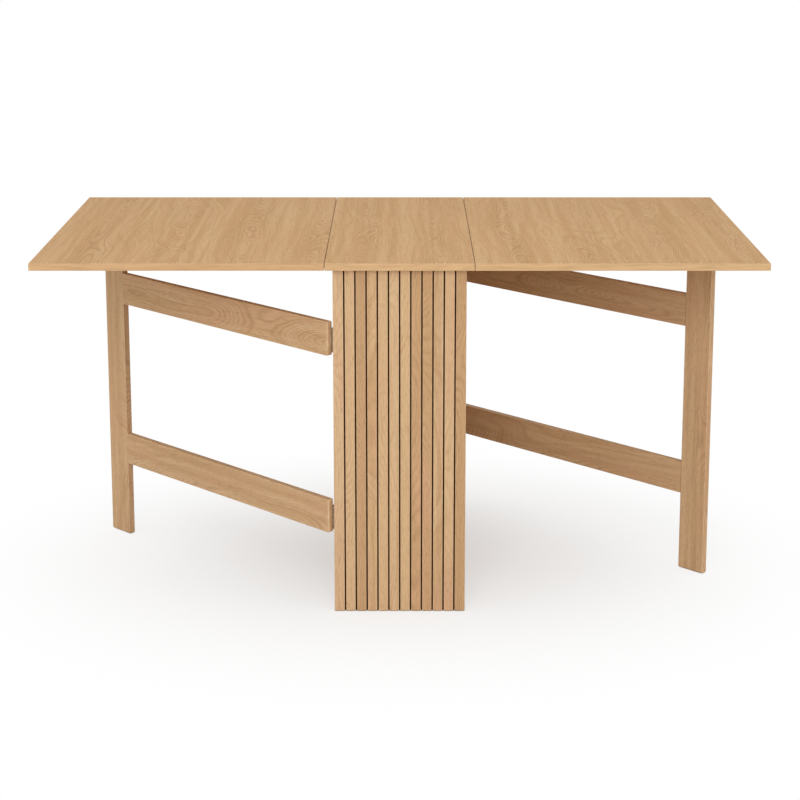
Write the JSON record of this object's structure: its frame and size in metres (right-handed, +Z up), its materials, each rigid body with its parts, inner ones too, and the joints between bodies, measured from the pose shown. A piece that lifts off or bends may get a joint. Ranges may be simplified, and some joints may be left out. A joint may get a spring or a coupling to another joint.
{
  "type": "butterfly folding table",
  "caption": "Drop-leaf table with a narrow slatted column, a fixed centre top, hinged leaves and swing-out gate legs that carry the raised leaves.",
  "frame": {"origin": "on the floor under the middle of the table top", "axes": "+X along the table's length, +Y from the front slatted end to the rear one, +Z up"},
  "size_m": [1.5, 0.8, 0.75],
  "materials": {
    "oak_top": "light oak veneer with cathedral figure, matt lacquer",
    "oak_slat": "light oak strips, matt lacquer, tones vary from strip to strip",
    "oak_gate": "light oak boards, matt lacquer",
    "dark_backing": "face behind the slats stained near-black brown, the rest oak veneer",
    "oak_panel": "light oak board, matt lacquer",
    "beech_dowel": "bare fluted beech",
    "hinge_steel": "bronzed steel, satin",
    "screw_steel": "zinc-plated steel",
    "glide_plastic": "dark moulded plastic"
  },
  "bodies": {
    "column": {"centre_top": "oak_top", "front_backing_board": "dark_backing", "rear_backing_board": "dark_backing", "front_slat_01": "oak_slat", "front_slat_02": "oak_slat", "front_slat_03": "oak_slat", "front_slat_04": "oak_slat", "front_slat_05": "oak_slat", "front_slat_06": "oak_slat", "front_slat_07": "oak_slat", "front_slat_08": "oak_slat", "front_slat_09": "oak_slat", "front_slat_10": "oak_slat", "front_slat_11": "oak_slat", "front_slat_12": "oak_slat", "rear_slat_01": "oak_slat", "rear_slat_02": "oak_slat", "rear_slat_03": "oak_slat", "rear_slat_04": "oak_slat", "rear_slat_05": "oak_slat", "rear_slat_06": "oak_slat", "rear_slat_07": "oak_slat", "rear_slat_08": "oak_slat", "rear_slat_09": "oak_slat", "rear_slat_10": "oak_slat", "rear_slat_11": "oak_slat", "rear_slat_12": "oak_slat", "spine_board": "oak_panel", "left_top_batten": "oak_panel", "right_top_batten": "oak_panel", "column_dowels": "beech_dowel", "column_screws": "screw_steel", "column_glides": "glide_plastic", "leaf_hinge_fixed_flaps": "hinge_steel", "leaf_hinge_pins": "hinge_steel", "gate_hinge_fixed_flaps": "hinge_steel", "gate_hinge_pins": "hinge_steel"},
    "left_leaf": {"left_leaf_board": "oak_top", "left_leaf_hinge_moving_flaps": "hinge_steel", "left_leaf_screws": "screw_steel", "left_gate_stop": "oak_gate"},
    "left_gate": {"left_gate_leg": "oak_gate", "left_gate_upper_rail": "oak_gate", "left_gate_lower_rail": "oak_gate", "left_gate_dowels": "beech_dowel", "left_gate_hinge_moving_flaps": "hinge_steel", "left_gate_screws": "screw_steel", "left_gate_glides": "glide_plastic"},
    "right_leaf": {"right_leaf_board": "oak_top", "right_leaf_hinge_moving_flaps": "hinge_steel", "right_leaf_screws": "screw_steel", "right_gate_stop": "oak_gate"},
    "right_gate": {"right_gate_leg": "oak_gate", "right_gate_upper_rail": "oak_gate", "right_gate_lower_rail": "oak_gate", "right_gate_dowels": "beech_dowel", "right_gate_hinge_moving_flaps": "hinge_steel", "right_gate_screws": "screw_steel", "right_gate_glides": "glide_plastic"}
  },
  "joints": [
    {"name": "left_gate_swing", "type": "hinge", "parent": "column", "child": "left_gate", "pos_m": [-0.138, -0.3675, 0.4], "axis": [0, 0, 1], "range_deg": [-45, 0]},
    {"name": "left_leaf_lift", "type": "hinge", "parent": "column", "child": "left_leaf", "pos_m": [-0.1525, 0, 0.7318], "axis": [0, 1, 0], "range_deg": [0, 3]},
    {"name": "right_gate_swing", "type": "hinge", "parent": "column", "child": "right_gate", "pos_m": [0.138, 0.3675, 0.4], "axis": [0, 0, 1], "range_deg": [-45, 0]},
    {"name": "right_leaf_lift", "type": "hinge", "parent": "column", "child": "right_leaf", "pos_m": [0.1525, 0, 0.7318], "axis": [0, -1, 0], "range_deg": [0, 3]}
  ]
}
